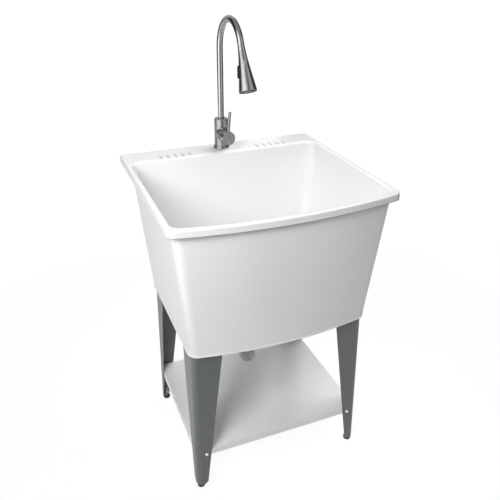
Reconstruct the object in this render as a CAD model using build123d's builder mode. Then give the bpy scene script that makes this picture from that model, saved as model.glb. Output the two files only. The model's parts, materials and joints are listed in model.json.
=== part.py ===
from build123d import *
import os
from math import atan2, cos, radians, sin

os.makedirs("parts", exist_ok=True)

# Utility laundry sink on four sheet-steel legs, with a gooseneck pull-down faucet.
# Millimetres, +X right, +Y to the wall, +Z up; the origin is on the floor
# under the middle of the rim.

# ---------------------------------------------------------------- driving dimensions
# rim and faucet deck of the moulded tub
rim_width = 610.0
rim_depth = 575.0  # back edge to the middle of the bowed front
rim_bow = 33.0  # the front edge bows this far past its corners
rim_height = 860.0  # floor to the top face
rim_lip = 19.0  # height of the turned-down lip
rim_wall = 4.5
rim_front_radius = 24.0
rim_back_radius = 9.0
rim_edge_round = 3.0
deck_depth = 84.0  # back edge to the basin, where the faucet stands

# basin and skirt
side_overhang = 12.5  # lip past the side walls
front_overhang = 13.5
tub_wall = 4.5
tub_corner_radius = 30.0
wall_bow = 32.0  # bow of the front wall under the rim
skirt_bow = 29.0  # bow of the front wall at its foot
tub_base = 474.0  # floor to the bottom edge of the skirt
side_taper = 32.5  # each side wall leans in by this much from rim to skirt
front_taper = 18.0
back_taper = 27.0
mouth_round = 9.0
floor_rise = 38.0  # basin floor above the foot of the skirt
floor_round = 26.0
floor_wall = 4.5
dish_radius = 112.0  # the floor falls to the drain inside this radius
dish_depth = 8.0
bead_height = 6.0
bead_proud = 1.8
bead_round = 1.7

# self-draining grooves either side of the faucet
groove_count = 5
groove_pitch = 22.0
groove_group_offset = 152.0
groove_radius = 7.0
groove_depth = 2.7  # at the rounded edge of the basin
groove_length = 50.0
groove_fall = 3.0  # degrees

# legs: folded sheet, tapering and splaying towards the floor
leg_sheet = 1.5
leg_fold_radius = 17.0
leg_foot_height = 12.0  # floor to the bottom of the sheet
leg_setback_side = 6.0  # sheet inside the foot of the skirt
leg_setback_front = 5.0
leg_setback_back = 9.0
leg_splay_side = 7.0  # outward from skirt to foot
leg_splay_front = 21.0
leg_splay_back = 14.0
leg_top_flange = 85.0
leg_foot_flange = 31.0
leg_corner_cut = 9.0
socket_wall = 2.5
socket_gap = 0.3
socket_weld = 5.0  # the sockets reach this far towards the skirt
foot_tab_height = 20.0
foot_tab_thickness = 2.0
foot_tab_width = 25.0
tab_weld = 0.6  # the tab bites this far into the sheet

# levelling feet
foot_inset = 14.0  # foot axis from the outer faces of the leg
pad_radius = 11.5
pad_height = 8.0
pad_round = 2.0
stem_radius = 4.0
stem_length = 34.0
stem_hex = 13.0  # across flats
stem_hex_height = 3.6
stem_gap = 0.08
foot_nut_height = 6.5

# shelf
shelf_top = 140.0
shelf_lip = 20.0
shelf_sheet = 1.2
shelf_gap = 0.3
shelf_corner_radius = 17.0
shelf_edge_round = 2.4
screw_inset = 30.2  # screw from the corner of the leg
screw_height = 128.0
screw_radius = 2.4
screw_hole_gap = 0.15
screw_head_radius = 5.0
screw_head_height = 2.8
screw_head_taper = 20.0  # degrees
screw_length = 12.0
screw_seat_gap = 0.05
shelf_nut_flats = 8.0
shelf_nut_height = 4.0

# drain
drain_y = 30.0
drain_boss_radius = 44.0
drain_boss_height = 6.0
drain_recess_depth = 2.5
drain_flange_radius = 35.0
drain_flange_thickness = 2.0
drain_recess_gap = 1.0
drain_thread_radius = 23.8
drain_bore_radius = 19.5
drain_hole_gap = 1.0
drain_length = 55.0  # flange top to the end of the threaded tube
drain_seat_radius = 22.6
drain_seat_depth = 4.0
drain_gasket_thickness = 1.5
drain_washer_thickness = 3.0
drain_washer_width = 9.0
thread_gap = 0.15
locknut_flats = 64.0
locknut_height = 12.0
strainer_bar = 3.0
strainer_depth = 15.0
tail_radius = 19.05  # 1 1/2 in tube
tail_wall = 1.3
tail_outlet_height = 207.0
tail_flange_width = 3.4
tail_flange_thickness = 2.0
tail_washer_thickness = 1.8
coupling_wall = 3.0
coupling_grip = 16.0  # thread covered by the coupling nut
coupling_lugs = 8
lug_radius = 2.6
trap_nut_height = 24.0
trap_nut_radius = 24.0
trap_nut_floor = 3.0
trap_nut_free_tail = 13.0  # tube left bare under the nut
tail_mark_width = 2.0  # groove that marks how far the trap goes on
tail_mark_depth = 0.3
trap_washer_height = 8.0
stopper_gap = 0.3
stopper_height = 8.0
stopper_knob_radius = 7.0
stopper_knob_height = 11.0
stopper_neck_radius = 3.5

# faucet body and its fixing
faucet_back = 39.5  # faucet axis in from the back edge
deck_hole_radius = 17.5
base_radius = 24.0
base_height = 5.0
base_round = 1.6
base_gasket_thickness = 1.5
body_radius = 20.5
body_wall = 3.0
body_height = 82.5
body_roof = 5.0
body_edge = 0.8
core_gap = 0.3
core_top_gap = 6.0
port_radius = 4.2
port_depth = 12.0
port_circle = 12.7
port_turn = 31.0  # degrees from the side to the back
hose_passage_radius = 7.5
stud_radius = 3.0
stud_circle = 12.4
stud_length = 64.0
stud_grip = 11.0
pad_plate_radius = 25.0
rubber_pad_thickness = 3.0
clamp_plate_thickness = 2.5
clamp_nut_flats = 10.0
clamp_nut_height = 12.0

# handle hub, which points to the front
hub_height = 46.0  # hub axis above the deck
hub_pivot = 42.0  # pivot of the lever in front of the faucet axis
hub_radius = 20.0
hub_wall = 3.0
hub_ring = 2.0
cap_clearance = 0.6
dome_radius = 17.5
dome_wall = 2.0
dome_mouth_radius = 13.0
dome_skirt_length = 5.5
cap_radius = 19.5
cap_length = 24.0
cap_rim = 4.0  # rim of the cap in front of the pivot
cap_gap = 0.5
cap_edge = 1.0
cartridge_radius = 12.9
cartridge_length = 16.0
cartridge_back = 34.0  # cartridge seat behind the pivot
neck_radius = 11.5
neck_front = 2.0
carriage_radius = 10.0
carriage_depth = 7.9  # behind the pivot
carriage_nose = 4.0  # in front of it
turn_gap = 0.06
retainer_height = 4.5
stem_bar = 7.0
stem_bar_tail = 6.0
stem_bar_nose = 24.0
slot_height = 7.4
slot_gap = 0.4
pivot_pin_radius = 1.5
lever_radius = 4.25
lever_length = 62.0
lever_lean = 12.0  # degrees to the front
lever_range = 25.0  # degrees of tilt from shut to full flow
lever_root_inset = 6.0  # lever axis behind the face of the cap
lever_socket = 5.0
lever_tip_round = 1.2
set_screw_radius = 2.5
set_screw_length = 9.0
plug_depth = 2.0

# gooseneck
tube_radius = 9.0
tube_wall = 1.2
tube_swivel_gap = 0.08
bush_height = 14.0
tube_stop_height = 3.6
tube_stop_radius = 14.5
riser_top = 1149.0
arch_radius = 85.0
outlet_angle = 25.0  # degrees from straight down
outlet_straight = 6.0
dock_radius = 6.6
dock_depth = 5.0
dock_lip = 1.0
hose_radius = 6.0
hose_below_core = 40.0

# spray head
head_gap = 0.2
head_length = 117.0
head_neck_radius = 9.2
head_mouth_radius = 24.3
head_spread = 0.05  # slope of the shell at its neck
head_flare = 0.14  # slope of the shell at its mouth
head_wall = 1.8
hose_nut_radius = 7.0
hose_nut_length = 20.0
spigot_radius = 6.6
manifold_height = 16.0
face_inset = 0.8
face_thickness = 5.0
face_gap = 0.25
nozzle_rings = ((12.0, 12), (17.0, 18))  # circle radius, number of nozzles
nozzle_radius = 1.1
nozzle_height = 1.3
nozzle_taper = 12.0  # degrees
aerator_radius = 7.8
aerator_proud = 0.8
button_from_dock = 69.0  # on the left of the head
button_length = 33.0
button_width = 12.0
button_gap = 0.35
button_proud = 3.5
button_travel = 1.5
button_round = 2.2

# ---------------------------------------------------------------- derived places
rim_back = rim_depth / 2
rim_corner = rim_bow - rim_depth / 2  # y of the front corners
rim_underside = rim_height - rim_wall
basin_floor = tub_base + floor_rise
floor_underside = basin_floor - floor_wall
wall_drop = rim_height - tub_base
skirt_half_width = rim_width / 2 - side_overhang - side_taper
skirt_front = rim_corner + front_overhang + front_taper
skirt_back = rim_back - deck_depth + tub_wall - back_taper
leg_top_half_width = skirt_half_width - leg_setback_side
leg_top_front = skirt_front + leg_setback_front
leg_top_back = skirt_back - leg_setback_back
leg_foot_half_width = leg_top_half_width + leg_splay_side
leg_foot_front = leg_top_front - leg_splay_front
leg_foot_back = leg_top_back + leg_splay_back


def bowed_face(z, half_width, back, corner, bow, front_radius, back_radius):
    # rectangle with a bowed front edge and rounded corners
    with BuildSketch(Plane.XY.offset(z)) as outline:
        with BuildLine():
            rear = Line((half_width, back), (-half_width, back))
            left = Line(rear @ 1, (-half_width, corner))
            front = ThreePointArc(left @ 1, (0, corner - bow), (half_width, corner))
            Line(front @ 1, rear @ 0)
        make_face()
        fillet(outline.vertices().group_by(Axis.Y)[0], front_radius)
        fillet(outline.vertices().group_by(Axis.Y)[-1], back_radius)
    return outline.sketch


def tub_face(z, inset):
    # section of the tub at a height, inset from its outer wall
    fall = (rim_height - z) / wall_drop
    half_width = rim_width / 2 - side_overhang - side_taper * fall - inset
    back = rim_back - deck_depth + tub_wall - back_taper * fall - inset
    corner = rim_corner + front_overhang + front_taper * fall + inset
    bow = wall_bow + (skirt_bow - wall_bow) * fall
    radius = tub_corner_radius - inset
    return bowed_face(z, half_width, back, corner, bow, radius, radius)


def rim_face(z, inset):
    return bowed_face(
        z,
        rim_width / 2 - inset,
        rim_back - inset,
        rim_corner + inset,
        rim_bow,
        rim_front_radius - inset,
        rim_back_radius - inset,
    )


def leg_share(z):
    # 0 at the foot of the sheet, 1 at the skirt
    return (z - leg_foot_height) / (tub_base - leg_foot_height)


def leg_corner(z, side, end):
    # outer corner of a leg at a height; side is -1 left, 1 right, end is -1 front, 1 back
    up = leg_share(z)
    foot = leg_foot_front if end < 0 else leg_foot_back
    top = leg_top_front if end < 0 else leg_top_back
    half_width = leg_foot_half_width + (leg_top_half_width - leg_foot_half_width) * up
    return side * half_width, foot + (top - foot) * up


def leg_face(z, side, end, gap=0.0, weld=0.0):
    # angle section of a leg, grown by a gap all round and by a weld on its outer faces
    x, y = leg_corner(z, side, end)
    width = leg_foot_flange + (leg_top_flange - leg_foot_flange) * leg_share(z) + gap
    sheet = leg_sheet + gap
    outer = gap + weld

    def inward(across, along):
        return (x - side * across, y - end * along)

    with BuildSketch(Plane.XY.offset(z)) as section:
        with BuildLine():
            Polyline(
                inward(-outer, -outer),
                inward(width, -outer),
                inward(width, sheet),
                inward(sheet, sheet),
                inward(sheet, width),
                inward(-outer, width),
                close=True,
            )
        make_face()
        fold = section.vertices().sort_by_distance((*inward(-outer, -outer), z))[0]
        fillet(fold, leg_fold_radius + outer)
        inner = section.vertices().sort_by_distance((*inward(sheet, sheet), z))[0]
        fillet(inner, leg_fold_radius - sheet)
    return section.sketch


corners = {
    "front_left": (-1, -1),
    "front_right": (1, -1),
    "back_left": (-1, 1),
    "back_right": (1, 1),
}


def screw_plane(side, end):
    # seat of a shelf screw on the outer face of a leg
    low = leg_corner(leg_foot_height, side, end)[1]
    high = leg_corner(tub_base, side, end)[1]
    lean = (high - low) / (tub_base - leg_foot_height)
    corner, seat = leg_corner(screw_height, side, end)
    return Plane(
        origin=(corner - side * screw_inset, seat, screw_height),
        x_dir=(1, 0, 0),
        z_dir=(0, end, -end * lean),
    )


def foot_plane(side, end, z):
    x, y = leg_corner(leg_foot_height, side, end)
    return Plane((x - side * foot_inset, y - end * foot_inset, z))


drain_plane = Plane((0, drain_y, 0))
drain_section = Plane((0, drain_y, 0), x_dir=(1, 0, 0), z_dir=(0, -1, 0))
drain_axis = Axis((0, drain_y, 0), (0, 0, 1))

# ---------------------------------------------------------------- tub
drain_seat = basin_floor - dish_depth - drain_recess_depth
drain_boss_bottom = floor_underside - dish_depth - drain_boss_height
groove_front = rim_back - deck_depth

with BuildPart() as basin_hollow:
    loft([tub_face(rim_height, tub_wall), tub_face(basin_floor, tub_wall)], ruled=True)
    fillet(basin_hollow.faces().sort_by(Axis.Z)[0].edges(), floor_round)

with BuildPart() as skirt_bead:
    extrude(tub_face(tub_base, -bead_proud), amount=bead_height)
    fillet(skirt_bead.faces().sort_by(Axis.Z)[0].edges(), bead_round)
    fillet(skirt_bead.faces().sort_by(Axis.Z)[-1].edges(), bead_round)

with BuildPart() as leg_sockets:
    for side, end in corners.values():
        extrude(
            leg_face(tub_base + bead_height, side, end, socket_gap + socket_wall, socket_weld),
            amount=floor_underside - tub_base - bead_height + floor_wall / 2,
        )
    loft([tub_face(tub_base, tub_wall / 2), tub_face(rim_height, tub_wall / 2)], mode=Mode.INTERSECT)

with BuildPart() as tub:
    extrude(rim_face(rim_height, 0), amount=-rim_lip)
    fillet(tub.faces().sort_by(Axis.Z)[-1].edges(), rim_edge_round)
    extrude(rim_face(rim_height - rim_lip, rim_wall), amount=rim_lip - rim_wall, mode=Mode.SUBTRACT)
    loft([tub_face(rim_height, 0), tub_face(tub_base, 0)], ruled=True)
    add(skirt_bead.part)
    loft(
        [tub_face(tub_base, tub_wall), tub_face(floor_underside, tub_wall)],
        ruled=True,
        mode=Mode.SUBTRACT,
    )
    with Locations(drain_plane.offset(floor_underside - dish_depth)):
        Cone(
            drain_boss_radius,
            dish_radius,
            dish_depth + floor_wall / 2,
            align=(Align.CENTER, Align.CENTER, Align.MIN),
        )
    with Locations(drain_plane.offset(drain_boss_bottom)):
        Cylinder(
            drain_boss_radius,
            basin_floor - dish_depth - drain_boss_bottom,
            align=(Align.CENTER, Align.CENTER, Align.MIN),
        )
    add(leg_sockets.part)
    for side, end in corners.values():
        loft(
            [
                leg_face(tub_base - bead_height, side, end, socket_gap),
                leg_face(floor_underside, side, end, socket_gap),
            ],
            ruled=True,
            mode=Mode.SUBTRACT,
        )
    add(basin_hollow.part, mode=Mode.SUBTRACT)
    with Locations(drain_plane.offset(basin_floor - dish_depth)):
        Cone(
            drain_boss_radius,
            dish_radius,
            dish_depth,
            align=(Align.CENTER, Align.CENTER, Align.MIN),
            mode=Mode.SUBTRACT,
        )
    with Locations(drain_plane.offset(drain_seat)):
        Cylinder(
            drain_flange_radius + drain_recess_gap,
            dish_depth,
            align=(Align.CENTER, Align.CENTER, Align.MIN),
            mode=Mode.SUBTRACT,
        )
        Cylinder(drain_thread_radius + drain_hole_gap, drain_length, mode=Mode.SUBTRACT)
    mouth = tub.faces().filter_by(Plane.XY).sort_by(Axis.Z)[-1].inner_wires()[0]
    fillet(mouth.edges(), mouth_round)
    for group in (-groove_group_offset, groove_group_offset):
        for step in range(groove_count):
            x = group + (step - (groove_count - 1) / 2) * groove_pitch
            groove_start = Plane(
                origin=(x, groove_front, rim_height + groove_radius - groove_depth),
                x_dir=(1, 0, 0),
                z_dir=(0, cos(radians(groove_fall)), sin(radians(groove_fall))),
            )
            with Locations(groove_start):
                Cylinder(
                    groove_radius,
                    groove_length * 2,
                    align=(Align.CENTER, Align.CENTER, Align.CENTER),
                    mode=Mode.SUBTRACT,
                )
    with Locations((0, rim_back - faucet_back, rim_height)):
        Cylinder(deck_hole_radius, rim_lip, mode=Mode.SUBTRACT)
tub.part.label = "tub"
export_step(tub.part, "parts/tub.step")

# ---------------------------------------------------------------- legs and feet
for name, (side, end) in corners.items():
    seat = screw_plane(side, end)
    tab_plane = foot_plane(side, end, foot_tab_height)
    with BuildPart() as leg:
        loft(
            [leg_face(leg_foot_height, side, end), leg_face(floor_underside, side, end)],
            ruled=True,
        )
        flange_ends = leg.edges().group_by(Axis.Z)[0].filter_by(lambda e: e.length < 2 * leg_sheet)
        chamfer(flange_ends, leg_corner_cut)
        with BuildSketch(tab_plane) as tab:
            reach = foot_inset - leg_sheet + tab_weld
            inner = foot_tab_width - reach
            corner_x, corner_y = side * reach, end * reach
            with BuildLine():
                Polyline(
                    (corner_x, corner_y),
                    (-side * inner, corner_y),
                    (-side * inner, end * (reach - inner)),
                    (side * (reach - inner), -end * inner),
                    (corner_x, -end * inner),
                    close=True,
                )
            make_face()
            fold_corner = tab.vertices().sort_by_distance(tab_plane.from_local_coords(
                (corner_x, corner_y, 0)))[0]
            fillet(fold_corner, leg_fold_radius - leg_sheet + tab_weld)
        extrude(amount=foot_tab_thickness)
        with Locations(tab_plane):
            Cylinder(stem_radius + stem_gap, stem_length, mode=Mode.SUBTRACT)
        with Locations(seat):
            Cylinder(screw_radius + screw_hole_gap, screw_length, mode=Mode.SUBTRACT)
    leg.part.label = f"leg_{name}"
    export_step(leg.part, f"parts/leg_{name}.step")

    with BuildPart() as pad:
        with BuildSketch(foot_plane(side, end, 0)):
            Circle(pad_radius)
        extrude(amount=pad_height)
        fillet(pad.edges().group_by(Axis.Z)[0], pad_round)
        fillet(pad.edges().group_by(Axis.Z)[-1], pad_round / 2)
        with BuildSketch(foot_plane(side, end, pad_height / 2)):
            Circle(stem_radius)
        extrude(amount=pad_height, mode=Mode.SUBTRACT)
    pad.part.label = f"foot_pad_{name}"
    export_step(pad.part, f"parts/foot_pad_{name}.step")

    with BuildPart() as stem:
        with BuildSketch(foot_plane(side, end, pad_height / 2)):
            Circle(stem_radius)
        extrude(amount=pad_height / 2 + stem_length)
        with BuildSketch(foot_plane(side, end, pad_height)):
            RegularPolygon(stem_hex / 2, 6, major_radius=False)
        extrude(amount=stem_hex_height)
        chamfer(stem.edges().group_by(Axis.Z)[-1], stem_radius / 4)
    stem.part.label = f"foot_stem_{name}"
    export_step(stem.part, f"parts/foot_stem_{name}.step")

with BuildPart() as foot_nuts:
    for side, end in corners.values():
        with BuildSketch(foot_plane(side, end, foot_tab_height + foot_tab_thickness)):
            RegularPolygon(stem_hex / 2, 6, major_radius=False)
            Circle(stem_radius + stem_gap, mode=Mode.SUBTRACT)
        extrude(amount=foot_nut_height)
foot_nuts.part.label = "foot_nuts"
export_step(foot_nuts.part, "parts/foot_nuts.step")

# ---------------------------------------------------------------- shelf
shelf_inset = leg_sheet + shelf_gap
shelf_right = leg_corner(shelf_top, 1, 1)[0] - shelf_inset
shelf_front = leg_corner(shelf_top, 1, -1)[1] + shelf_inset
shelf_back_high = leg_corner(shelf_top, 1, 1)[1]
shelf_back_low = leg_corner(shelf_top - shelf_lip, 1, 1)[1]
shelf_back = min(shelf_back_high, shelf_back_low) - shelf_inset


def shelf_face(z, inset):
    with BuildSketch(Plane.XY.offset(z)) as outline:
        with Locations((0, (shelf_front + shelf_back) / 2)):
            RectangleRounded(
                2 * (shelf_right - inset),
                shelf_back - shelf_front - 2 * inset,
                shelf_corner_radius - inset,
            )
    return outline.sketch


with BuildPart() as shelf_hollow:
    extrude(shelf_face(shelf_top - shelf_lip, shelf_sheet), amount=shelf_lip - shelf_sheet)
    fillet(shelf_hollow.faces().sort_by(Axis.Z)[-1].edges(), shelf_edge_round - shelf_sheet)

with BuildPart() as shelf:
    extrude(shelf_face(shelf_top - shelf_lip, 0), amount=shelf_lip)
    fillet(shelf.faces().sort_by(Axis.Z)[-1].edges(), shelf_edge_round)
    add(shelf_hollow.part, mode=Mode.SUBTRACT)
    for side, end in corners.values():
        with Locations(screw_plane(side, end)):
            Cylinder(screw_radius + screw_hole_gap, screw_length, mode=Mode.SUBTRACT)
shelf.part.label = "shelf"
export_step(shelf.part, "parts/shelf.step")

with BuildPart() as shelf_screws:
    for side, end in corners.values():
        seat = screw_plane(side, end)
        with BuildSketch(seat.offset(screw_seat_gap)):
            Circle(screw_head_radius)
        extrude(amount=screw_head_height, taper=screw_head_taper)
        with BuildSketch(seat.offset(screw_head_height / 2)):
            Circle(screw_radius)
        extrude(amount=-screw_length - screw_head_height / 2)
shelf_screws.part.label = "shelf_screws"
export_step(shelf_screws.part, "parts/shelf_screws.step")

with BuildPart() as shelf_nuts:
    for side, end in corners.values():
        seat = screw_plane(side, end)
        depth = leg_sheet + 2 * shelf_gap + shelf_sheet + screw_radius / 4
        with BuildSketch(seat.offset(-depth)):
            RegularPolygon(shelf_nut_flats / 2, 6, major_radius=False)
            Circle(screw_radius + screw_seat_gap, mode=Mode.SUBTRACT)
        extrude(amount=-shelf_nut_height)
shelf_nuts.part.label = "shelf_nuts"
export_step(shelf_nuts.part, "parts/shelf_nuts.step")

# ---------------------------------------------------------------- drain
flange_bottom = drain_seat + drain_gasket_thickness
flange_top = flange_bottom + drain_flange_thickness
thread_end = flange_top - drain_length
bar_top = flange_top - strainer_depth

with BuildPart() as drain_gasket:
    with BuildSketch(drain_plane.offset(drain_seat)):
        Circle(drain_flange_radius)
        Circle(drain_thread_radius + thread_gap, mode=Mode.SUBTRACT)
    extrude(amount=drain_gasket_thickness)
drain_gasket.part.label = "drain_gasket"
export_step(drain_gasket.part, "parts/drain_gasket.step")

with BuildPart() as drain_body:
    with BuildSketch(drain_section):
        with BuildLine():
            Polyline(
                (drain_bore_radius, thread_end),
                (drain_thread_radius, thread_end),
                (drain_thread_radius, flange_bottom),
                (drain_flange_radius, flange_bottom),
                (drain_flange_radius - drain_flange_thickness / 2, flange_top),
                (drain_seat_radius, flange_top),
                (drain_bore_radius, flange_top - drain_seat_depth),
                close=True,
            )
        make_face()
    revolve(axis=drain_axis)
    with BuildSketch(drain_plane.offset(bar_top - strainer_bar)):
        for turn in (0, 90):
            Rectangle(2 * drain_bore_radius + drain_flange_thickness, strainer_bar, rotation=turn)
    extrude(amount=strainer_bar)
drain_body.part.label = "drain_body"
export_step(drain_body.part, "parts/drain_body.step")

with BuildPart() as drain_washer:
    with BuildSketch(drain_plane.offset(drain_boss_bottom)):
        Circle(drain_thread_radius + drain_washer_width)
        Circle(drain_thread_radius + thread_gap, mode=Mode.SUBTRACT)
    extrude(amount=-drain_washer_thickness)
drain_washer.part.label = "drain_washer"
export_step(drain_washer.part, "parts/drain_washer.step")

with BuildPart() as drain_locknut:
    with BuildSketch(drain_plane.offset(drain_boss_bottom - drain_washer_thickness)):
        RegularPolygon(locknut_flats / 2, 6, major_radius=False)
        Circle(drain_thread_radius + thread_gap, mode=Mode.SUBTRACT)
    extrude(amount=-locknut_height)
drain_locknut.part.label = "drain_locknut"
export_step(drain_locknut.part, "parts/drain_locknut.step")

with BuildPart() as tail_washer:
    with BuildSketch(drain_plane.offset(thread_end)):
        Circle(tail_radius + tail_flange_width)
        Circle(tail_radius - tail_wall, mode=Mode.SUBTRACT)
    extrude(amount=-tail_washer_thickness)
tail_washer.part.label = "tail_washer"
export_step(tail_washer.part, "parts/tail_washer.step")

tail_top = thread_end - tail_washer_thickness
with BuildPart() as tailpiece:
    with BuildSketch(drain_plane.offset(tail_outlet_height)):
        Circle(tail_radius)
    extrude(amount=tail_top - tail_outlet_height)
    with BuildSketch(drain_plane.offset(tail_top)):
        Circle(tail_radius + tail_flange_width)
    extrude(amount=-tail_flange_thickness)
    with BuildSketch(drain_plane.offset(tail_outlet_height)):
        Circle(tail_radius - tail_wall)
    extrude(amount=tail_top - tail_outlet_height, mode=Mode.SUBTRACT)
    with BuildSketch(drain_plane.offset(tail_outlet_height + trap_nut_free_tail)):
        Circle(tail_radius)
        Circle(tail_radius - tail_mark_depth, mode=Mode.SUBTRACT)
    extrude(amount=tail_mark_width, mode=Mode.SUBTRACT)
tailpiece.part.label = "tailpiece"
export_step(tailpiece.part, "parts/tailpiece.step")

coupling_bottom = tail_top - tail_flange_thickness - coupling_wall
with BuildPart() as coupling_nut:
    with BuildSketch(drain_plane.offset(coupling_bottom)):
        Circle(drain_thread_radius + coupling_wall)
        with PolarLocations(drain_thread_radius + coupling_wall, coupling_lugs):
            Circle(lug_radius)
    extrude(amount=thread_end + coupling_grip - coupling_bottom)
    with BuildSketch(drain_plane.offset(coupling_bottom + coupling_wall)):
        Circle(drain_thread_radius + thread_gap)
    extrude(amount=thread_end + coupling_grip - coupling_bottom, mode=Mode.SUBTRACT)
    with BuildSketch(drain_plane.offset(coupling_bottom)):
        Circle(tail_radius + thread_gap)
    extrude(amount=coupling_wall, mode=Mode.SUBTRACT)
coupling_nut.part.label = "coupling_nut"
export_step(coupling_nut.part, "parts/coupling_nut.step")

trap_nut_bottom = tail_outlet_height + trap_nut_free_tail
trap_nut_top = trap_nut_bottom + trap_nut_height
with BuildPart() as trap_nut:
    with BuildSketch(drain_plane.offset(trap_nut_bottom)):
        Circle(trap_nut_radius)
        with PolarLocations(trap_nut_radius, coupling_lugs):
            Circle(lug_radius)
    extrude(amount=trap_nut_height)
    with BuildSketch(drain_plane.offset(trap_nut_bottom)):
        Circle(trap_nut_radius - coupling_wall)
    extrude(amount=trap_nut_height - trap_nut_floor, mode=Mode.SUBTRACT)
    with BuildSketch(drain_plane.offset(trap_nut_bottom)):
        Circle(tail_radius + thread_gap)
    extrude(amount=trap_nut_height, mode=Mode.SUBTRACT)
trap_nut.part.label = "trap_nut"
export_step(trap_nut.part, "parts/trap_nut.step")

with BuildPart() as trap_washer:
    with BuildSketch(drain_section):
        washer_top = trap_nut_top - trap_nut_floor
        with BuildLine():
            Polyline(
                (tail_radius + thread_gap, washer_top),
                (trap_nut_radius - coupling_wall - thread_gap, washer_top),
                (trap_nut_radius - coupling_wall - thread_gap, washer_top - trap_washer_height / 2),
                (tail_radius + 2 * thread_gap, washer_top - trap_washer_height),
                (tail_radius + thread_gap, washer_top - trap_washer_height),
                close=True,
            )
        make_face()
    revolve(axis=drain_axis)
trap_washer.part.label = "trap_washer"
export_step(trap_washer.part, "parts/trap_washer.step")

with BuildPart() as drain_stopper:
    with BuildSketch(drain_section):
        slope = (drain_seat_radius - drain_bore_radius) / drain_seat_depth
        plug_bottom = flange_top - drain_seat_depth + stopper_gap
        plug_top = flange_top + stopper_gap
        with BuildLine():
            Polyline(
                (0, plug_bottom),
                (drain_bore_radius - stopper_gap, plug_bottom),
                (drain_seat_radius - stopper_gap, plug_top),
                (stopper_neck_radius, plug_top),
                (stopper_neck_radius, plug_top + stopper_knob_height / 3),
                (stopper_knob_radius, plug_top + stopper_knob_height / 2),
                (stopper_knob_radius, plug_top + stopper_knob_height),
                (0, plug_top + stopper_knob_height),
                close=True,
            )
        make_face()
    revolve(axis=drain_axis)
drain_stopper.part.label = "drain_stopper"
export_step(drain_stopper.part, "parts/drain_stopper.step")

# ---------------------------------------------------------------- faucet body
faucet_y = rim_back - faucet_back
faucet_plane = Plane((0, faucet_y, 0))
faucet_axis = Axis((0, faucet_y, 0), (0, 0, 1))
base_bottom = rim_height + base_gasket_thickness
body_bottom = base_bottom + base_height
body_top = body_bottom + body_height
bore_radius = body_radius - body_wall
core_radius = bore_radius - core_gap
core_bottom = base_bottom
hub_z = rim_height + hub_height
pivot_y = faucet_y - hub_pivot
pivot = (0, pivot_y, hub_z)

# distances along the hub axis, measured to the front from the lever's pivot
hub_axis = Axis(pivot, (0, -1, 0))
hub_plane = Plane(origin=pivot, x_dir=(1, 0, 0), z_dir=(0, -1, 0))
hub_section = Plane(origin=pivot, x_dir=(0, 0, 1), z_dir=(1, 0, 0))
cap_back_swing = cap_radius * sin(radians(lever_range)) - cap_rim * cos(radians(lever_range))
ring_front = -(cap_back_swing + cap_clearance)
hub_end = ring_front - hub_ring
skirt_back = hub_end - dome_skirt_length
core_front = skirt_back - core_gap
neck_back = core_front - retainer_height
cap_face = cap_rim + cap_length

with BuildPart() as base_gasket:
    with BuildSketch(faucet_plane.offset(rim_height)):
        Circle(base_radius - base_round)
        Circle(deck_hole_radius, mode=Mode.SUBTRACT)
    extrude(amount=base_gasket_thickness)
base_gasket.part.label = "base_gasket"
export_step(base_gasket.part, "parts/base_gasket.step")

with BuildPart() as base_ring:
    with BuildSketch(faucet_plane.offset(base_bottom)):
        Circle(base_radius)
    extrude(amount=base_height)
    fillet(base_ring.edges().group_by(Axis.Z)[-1], base_round)
    with BuildSketch(faucet_plane.offset(base_bottom)):
        Circle(bore_radius)
    extrude(amount=base_height, mode=Mode.SUBTRACT)
base_ring.part.label = "base_ring"
export_step(base_ring.part, "parts/base_ring.step")

with BuildPart() as faucet_body:
    with BuildSketch(faucet_plane.offset(body_bottom)):
        Circle(body_radius)
    extrude(amount=body_height)
    chamfer(faucet_body.edges().group_by(Axis.Z)[-1], body_edge)
    with BuildSketch(hub_plane.offset(hub_end)):
        Circle(hub_radius)
    extrude(amount=-(hub_pivot + hub_end))
    with BuildSketch(faucet_plane.offset(body_bottom)):
        Circle(bore_radius)
    extrude(amount=body_height - body_roof, mode=Mode.SUBTRACT)
    with BuildSketch(faucet_plane.offset(body_bottom)):
        Circle(tube_radius + tube_swivel_gap)
    extrude(amount=body_height, mode=Mode.SUBTRACT)
    with BuildSketch(hub_plane.offset(hub_end)):
        Circle(hub_radius - hub_wall)
    extrude(amount=-(hub_pivot + hub_end), mode=Mode.SUBTRACT)
faucet_body.part.label = "faucet_body"
export_step(faucet_body.part, "parts/faucet_body.step")

bush_bottom = body_top - body_roof - bush_height
core_top = bush_bottom - core_top_gap
port_angles = (port_turn, 180 - port_turn)
with BuildPart() as valve_core:
    with BuildSketch(faucet_plane.offset(core_bottom)):
        Circle(core_radius)
    extrude(amount=core_top - core_bottom)
    with BuildSketch(hub_plane.offset(core_front)):
        Circle(hub_radius - hub_wall - core_gap)
    extrude(amount=-(hub_pivot + core_front))
    with BuildSketch(hub_plane.offset(core_front)):
        Circle(cartridge_radius + 2 * core_gap + dome_wall / 2)
    extrude(amount=-retainer_height, mode=Mode.SUBTRACT)
    with BuildSketch(hub_plane.offset(neck_back)):
        Circle(cartridge_radius + core_gap / 2)
    extrude(amount=-(cartridge_back + neck_back), mode=Mode.SUBTRACT)
    with BuildSketch(faucet_plane.offset(core_bottom)):
        Circle(hose_passage_radius)
    extrude(amount=core_top - core_bottom, mode=Mode.SUBTRACT)
    with BuildSketch(faucet_plane.offset(core_bottom)):
        for angle in port_angles:
            with PolarLocations(port_circle, 1, start_angle=angle):
                Circle(port_radius)
    extrude(amount=port_depth, mode=Mode.SUBTRACT)
    with BuildSketch(faucet_plane.offset(core_bottom)):
        with Locations((0, -stud_circle)):
            Circle(stud_radius + thread_gap)
    extrude(amount=stud_grip, mode=Mode.SUBTRACT)
valve_core.part.label = "valve_core"
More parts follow.
